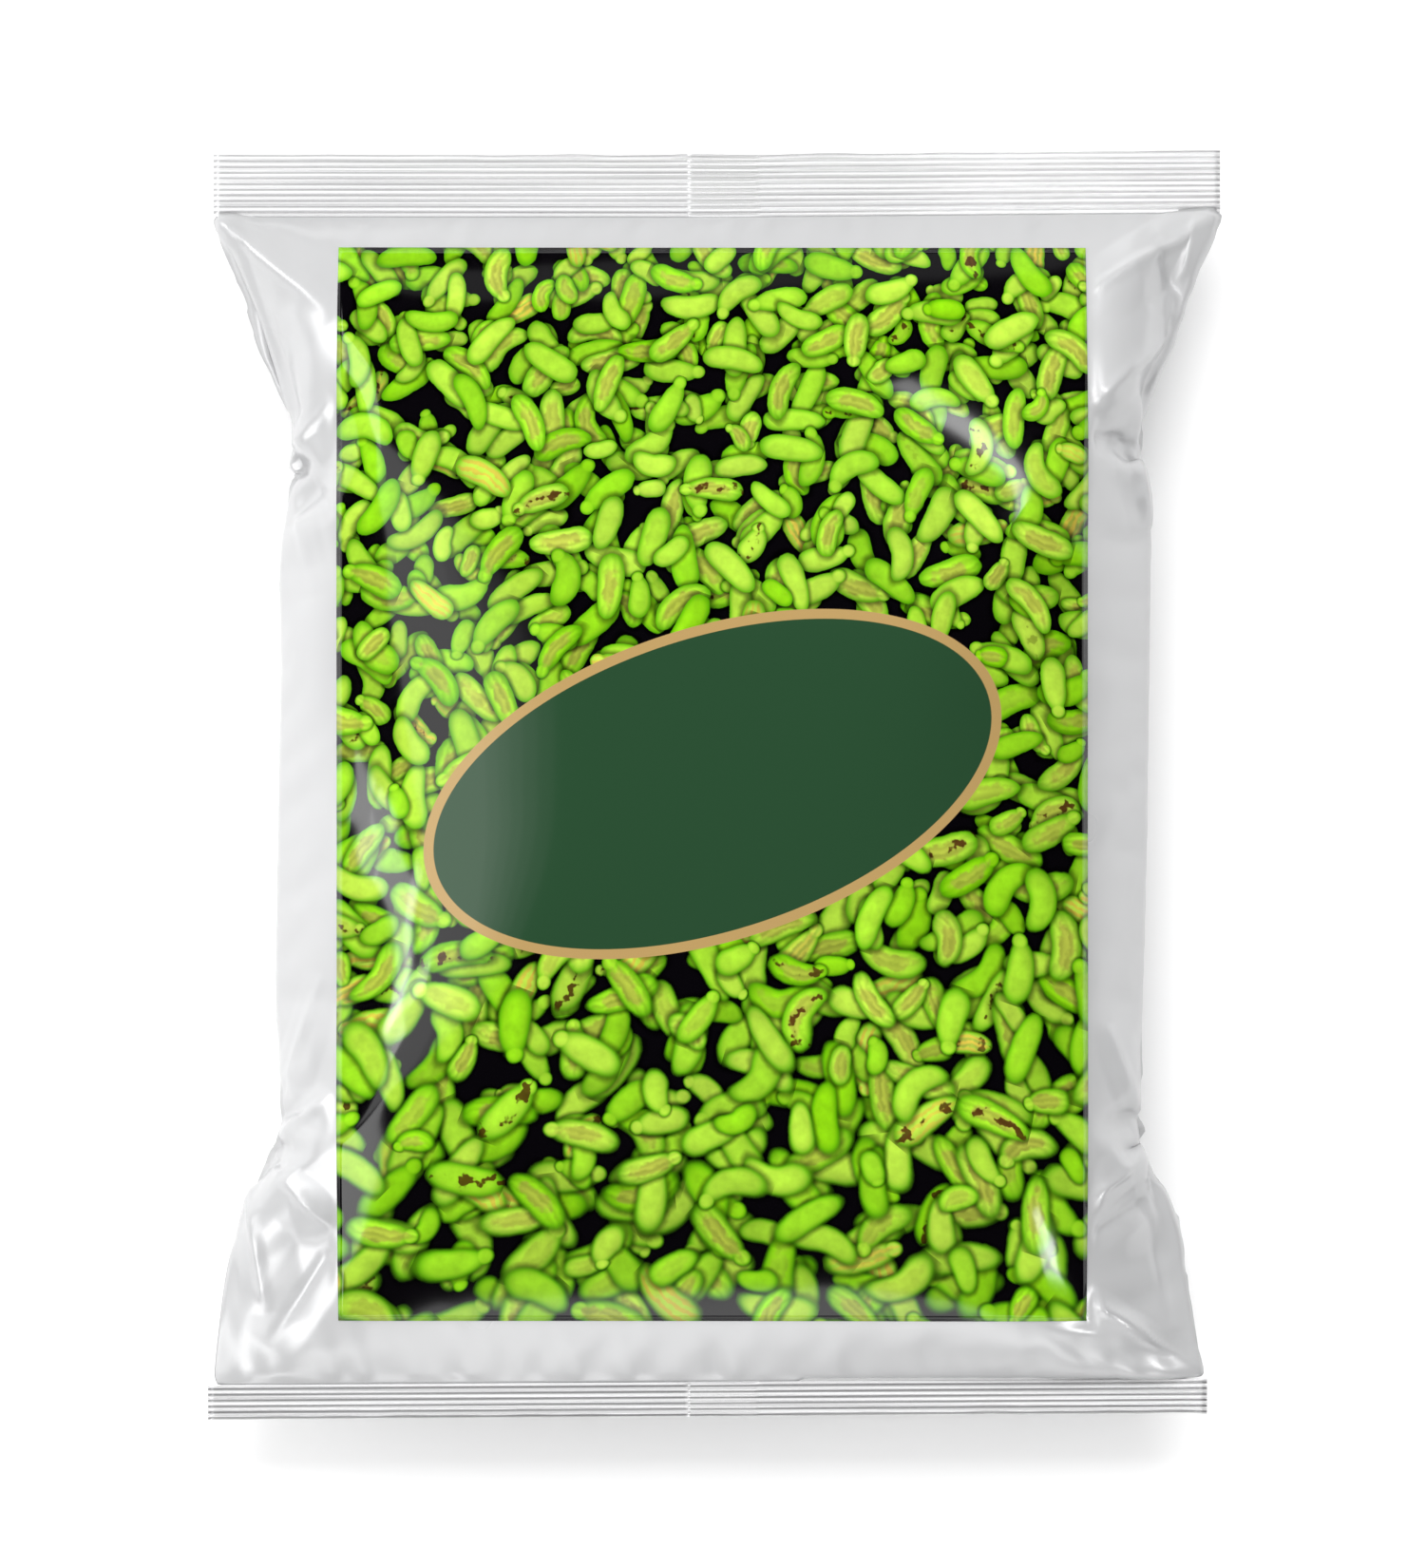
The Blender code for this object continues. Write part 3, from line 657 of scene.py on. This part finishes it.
def label_print():
    """A glossy print: a bed of green fennel seeds with a bare oval badge."""
    material = bpy.data.materials.new("label_print")
    nodes = Nodes(material)
    place = nodes.vector("MULTIPLY", nodes.add("TexCoord").outputs["Object"], (1000, 1000, 0))
    flat = nodes.add("SeparateXYZ", {0: place}).outputs
    blur = nodes.fade(flat[1], *FOCUS, EDGE_TOP, EDGE_BOTTOM)
    squeeze = nodes.maths("MULTIPLY_ADD", flat[1], SLANT, SEEN_SMALLER)
    half_squeeze = nodes.maths("MULTIPLY_ADD", flat[1], SLANT / 2, SEEN_SMALLER)
    bed = nodes.add("CombineXYZ", {0: nodes.maths("MULTIPLY", flat[0], squeeze),
                                   1: nodes.maths("MULTIPLY", flat[1], half_squeeze)}).outputs[0]
    grain = nodes.add("TexNoise", {"Vector": bed, "Scale": 0.55, "Detail": 2.0},
                      noise_dimensions="2D").outputs[0]
    grain = nodes.maths("SUBTRACT", grain, 0.5)
    colour = printed(*GAP)[:3]
    for number in range(LAYERS):
        # The shift is far too small to see. It makes each layer wait for the one below, because all of
        # them at once need more room than Cycles has for a shader's values.
        waited = nodes.vector("MULTIPLY_ADD", colour, (1e-6, 1e-6, 0), bed)
        colour = seed_layer(nodes, waited, blur, grain, colour, number)
    colour = badge(nodes, place, colour)
    nodes.put(nodes.shader.inputs["Base Color"], colour)
    nodes.shader.inputs["Roughness"].default_value = 0.1
    nodes.shader.inputs["Specular IOR Level"].default_value = 0.3
    return material


def white_film():
    """Glossy white packaging film."""
    material = bpy.data.materials.new("white_film")
    nodes = Nodes(material)
    place = nodes.add("TexCoord").outputs["Object"]
    cloud = nodes.add("TexNoise", {"Vector": place, "Scale": 40.0, "Detail": 2.0}).outputs[0]
    nodes.put(nodes.shader.inputs["Base Color"],
              nodes.mix(cloud, (0.445, 0.447, 0.452, 1), (0.475, 0.477, 0.482, 1)))
    nodes.put(nodes.shader.inputs["Roughness"], nodes.fade(cloud, 0.2, 0.8, 0.27, 0.33))
    nodes.shader.inputs["Metallic"].default_value = 0.15
    nodes.shader.inputs["Specular IOR Level"].default_value = 0.5
    return material


# How light the crimps' film is from streak to streak, and how much painted shade darkens its grooves
TOP_LOOK, BOTTOM_LOOK = (0.70, 0.92, 0.3), (0.62, 0.92, 0.55)


def crimped_film(name, inner, outer, ribs, dark, light, groove_shade):
    """The same film where it is pressed together: shinier, with fine streaks and painted shade that darkens
    its grooves.
    """
    material = bpy.data.materials.new(name)
    nodes = Nodes(material)
    place = nodes.add("TexCoord").outputs["Object"]
    flat = nodes.add("SeparateXYZ", {0: place}).outputs
    streak = nodes.add("TexNoise", {"Vector": nodes.vector("MULTIPLY", place, (12, 3000, 60)), "Scale": 1.0,
                                    "Detail": 3.0}).outputs[0]
    streak = nodes.fade(streak, 0.3, 0.7)
    if outer > 0:
        askew = nodes.maths("MULTIPLY", nodes.maths("MAXIMUM", flat[0], 0.0), TOP_RISE * 2 / FLAT_WIDTH)
    else:
        askew = nodes.maths("MULTIPLY", flat[0], BOTTOM_RISE * 2 / FLAT_WIDTH)
    along = nodes.maths("SUBTRACT", nodes.maths("SUBTRACT", flat[1], inner), askew)
    rib = nodes.maths("SINE", nodes.maths("MULTIPLY", along, math.tau * ribs / (outer - inner)))
    # Painted shade: the colour is darkened in the grooves between the ribs
    groove = nodes.fade(rib, -0.95, 0.1, 1 - groove_shade, 1.0)
    film = nodes.mix(streak, (dark, dark, dark + 0.006, 1), (light, light, light + 0.006, 1))
    film = nodes.add("VectorMath", {0: film, "Scale": groove}, operation="SCALE").outputs[0]
    nodes.put(nodes.shader.inputs["Base Color"], film)
    nodes.put(nodes.shader.inputs["Roughness"], nodes.maths("MULTIPLY_ADD", streak, 0.14, 0.2))
    nodes.shader.inputs["Metallic"].default_value = 0.35
    return material


# The room


def area_light(name, place, target, wide, high, power):
    light = bpy.data.lights.new(name, "AREA")
    light.shape = "RECTANGLE"
    light.size, light.size_y = wide, high
    light.energy = power
    made = bpy.data.objects.new(name, light)
    bpy.context.scene.collection.objects.link(made)
    made.location = place
    made.rotation_euler = (Vector(target) - Vector(place)).to_track_quat("-Z", "Y").to_euler()
    made.visible_camera = False
    return made


def reflected_light(name, place, target, wide, high, strength):
    """An area light of some strength per area that only shows as a reflection."""
    made = area_light(name, place, target, wide, high, strength * math.pi * wide * high)
    made.visible_diffuse = False
    return made


# Lights that only show as reflections. Strips: name, the points on the front in millimetres that the
# streak runs through, and the strip's width and strength. Panels: name, place, width, height and strength.
STRIPS = (("streak_left", ((-57, -2), (-53, -9), (-50.5, -16), (-48, -23)), 0.013, 9),
          ("patch_left", ((-49, -23), (-48, -31), (-49.5, -37), (-52, -42)), 0.026, 9),
          ("tail_right", ((30, 64.3), (37.4, 59)), 0.004, 9),
          ("streak_right", ((37.4, 59), (46, 52), (49, 44)), 0.005, 16),
          ("streak_corner", ((51, -68), (52.5, -73), (55, -78), (58.5, -81.5)), 0.006, 16))
STRIP_DISTANCE = 0.06  # in metres, from the front
STRIP_LEVEL = 30 * MM  # about the front's height where the strips show
PANELS = (("front", (-0.3, -1.5, 0.5), 1.5, 0.4, 3.4), ("back", (-0.2, 1.5, 0.45), 1.6, 0.3, 0.6),
          ("left_high", (-1.2, 0.6, 0.75), 0.6, 0.6, 6.0), ("left_low", (-1.05, -0.75, 0.85), 0.6, 0.6, 6.0))
# The soft veil over the badge's left third: panels behind one another that reach from one angle off the
# vertical to less and less far, so that their sum fades out
VEILS, VEIL_FROM, VEIL_TO, VEIL_STEP = 6, 57, 13, 4
VEIL_TARGET = (0, -0.02, 0.03)
VEIL_DISTANCE, VEIL_APART = 0.9, 0.01
VEIL_WIDE, VEIL_STRENGTH = 0.5, 0.5
KEY_PLACE, KEY_SIZE, KEY_WATTS = (0.0, 1.45, 2.2), (2.0, 1.4), 54
FLOOR_WHITE = (0.92, 0.92, 0.92, 1)
# The sky's strength in all directions, and what is added along this one and taken off along the opposite one
SKY_STRENGTH, SKY_LEAN = 1.08, (-0.72, -0.12, 0.0)


def mirrored(surface, x, y, distance):
    """Where a light has to be for the camera to see it mirrored at a point of the front."""
    step = 2 * MM
    lean_x = (surface.front(x + step, y) - surface.front(x - step, y)) / (2 * step)
    lean_y = (surface.front(x, y + step) - surface.front(x, y - step)) / (2 * step)
    normal = Vector((-lean_x, -lean_y, 1)).normalized()
    way = normal * (2 * normal.z) - Vector((0, 0, 1))
    return Vector((x, y, surface.front(x, y))) + way * distance


def strip(surface, name, path, width, strength):
    """A row of strip lights that the front mirrors as a streak along a path of points."""
    places = [mirrored(surface, x * MM, y * MM, STRIP_DISTANCE) for x, y in path]
    faced = Vector((sum(x for x, _ in path), sum(y for _, y in path), 0)) * MM / len(path)
    for start, end in zip(places, places[1:]):
        middle, along = (start + end) / 2, end - start
        made = reflected_light(name, middle, (0, 0, 0), along.length, width, strength)
        back = (middle - faced - Vector((0, 0, STRIP_LEVEL))).normalized()
        side = back.cross(along).normalized()
        back = along.cross(side).normalized()
        made.rotation_euler = Matrix((side.cross(back), side, back)).transposed().to_euler()


def room(surface):
    """The floor and the lights."""
    scene = bpy.context.scene
    bpy.ops.mesh.primitive_plane_add(size=6, location=(0, 0, 0))
    floor = bpy.context.object
    floor.name = "floor"
    pale = bpy.data.materials.new("pale_floor")
    pale.use_nodes = True
    shader = pale.node_tree.nodes["Principled BSDF"]
    shader.inputs["Base Color"].default_value = FLOOR_WHITE
    shader.inputs["Roughness"].default_value = 0.9
    floor.data.materials.append(pale)
    middle = (0, 0, 0.02)
    key = area_light("key", KEY_PLACE, middle, *KEY_SIZE, KEY_WATTS)
    key.visible_glossy = False
    for name, place, wide, high, strength in PANELS:
        reflected_light(name, place, middle, wide, high, strength)
    for number in range(VEILS):
        near, far = math.radians(VEIL_TO + number * VEIL_STEP), math.radians(VEIL_FROM)
        distance = VEIL_DISTANCE + VEIL_APART * number
        way = (near + far) / 2
        place = (-distance * math.sin(way), VEIL_TARGET[1], distance * math.cos(way) + VEIL_TARGET[2])
        high = 2 * distance * math.tan((far - near) / 2)
        reflected_light("veil", place, VEIL_TARGET, VEIL_WIDE, high, VEIL_STRENGTH)
    for strip_light in STRIPS:
        strip(surface, *strip_light)
    world = bpy.data.worlds.new("soft light")
    scene.world = world
    world.cycles_visibility.glossy = False
    world.use_nodes = True
    tree = world.node_tree
    sky = tree.nodes["Background"]
    sky.inputs["Color"].default_value = (1, 1, 1, 1)
    way = tree.nodes.new("ShaderNodeTexCoord")
    side = tree.nodes.new("ShaderNodeVectorMath")
    side.operation = "DOT_PRODUCT"
    side.inputs[1].default_value = SKY_LEAN
    strength = tree.nodes.new("ShaderNodeMath")
    strength.inputs[1].default_value = SKY_STRENGTH
    tree.links.new(way.outputs["Generated"], side.inputs[0])
    tree.links.new(side.outputs["Value"], strength.inputs[0])
    tree.links.new(strength.outputs[0], sky.inputs["Strength"])
    scene.view_settings.view_transform = "Standard"


def camera():
    """Looks straight down at the front. The photograph is 1500 by 1650 pixels of 0.151 mm."""
    pixel = 0.151 * MM
    pixels_high = 1650
    photo_middle, pouch_middle = 750, 752  # in pixels from the photograph's left edge
    lens, sensor = 300.0, 36.0
    data = bpy.data.cameras.new("camera")
    data.lens = lens
    data.sensor_width = sensor
    made = bpy.data.objects.new("camera", data)
    bpy.context.scene.collection.objects.link(made)
    distance = pixels_high * pixel * lens / sensor
    made.location = ((photo_middle - pouch_middle) * pixel, 0.0, SEAL_PLANE + distance)
    bpy.context.scene.camera = made


def seed_green():
    """Dull ridged green of dry seeds."""
    material = bpy.data.materials.new("seed_green")
    nodes = Nodes(material)
    place = nodes.add("TexCoord").outputs["Object"]
    tone = nodes.add("TexNoise", {"Vector": place, "Scale": 260.0, "Detail": 3.0}).outputs[0]
    nodes.put(nodes.shader.inputs["Base Color"],
              nodes.mix(nodes.fade(tone, 0.3, 0.7), printed(96, 128, 44), printed(158, 178, 84)))
    nodes.shader.inputs["Roughness"].default_value = 0.6
    return material


def main():
    film = pouch_film()
    surface = Surface(film)
    top = crimp("top_crimp", *TOP_CRIMP, *TOP_SIZE)
    bottom = crimp("bottom_crimp", *BOTTOM_CRIMP, *BOTTOM_SIZE)
    white = white_film()
    fins = fin_seal(surface)
    for piece in (film, fins):
        piece.data.materials.append(white)
    top.data.materials.append(crimped_film("top_pressed", *TOP_CRIMP, *TOP_LOOK))
    bottom.data.materials.append(crimped_film("bottom_pressed", *BOTTOM_CRIMP, *BOTTOM_LOOK))
    for piece in (film, fins, top, bottom):
        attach(piece, "root")
        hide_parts("pouch_film")
    front = label(surface)
    front.data.materials.append(label_print())
    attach(front, "root")
    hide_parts("front_label")
    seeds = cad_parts["seed_fill"]
    seeds.data.materials.clear()
    seeds.data.materials.append(seed_green())
    room(surface)
    camera()


main()
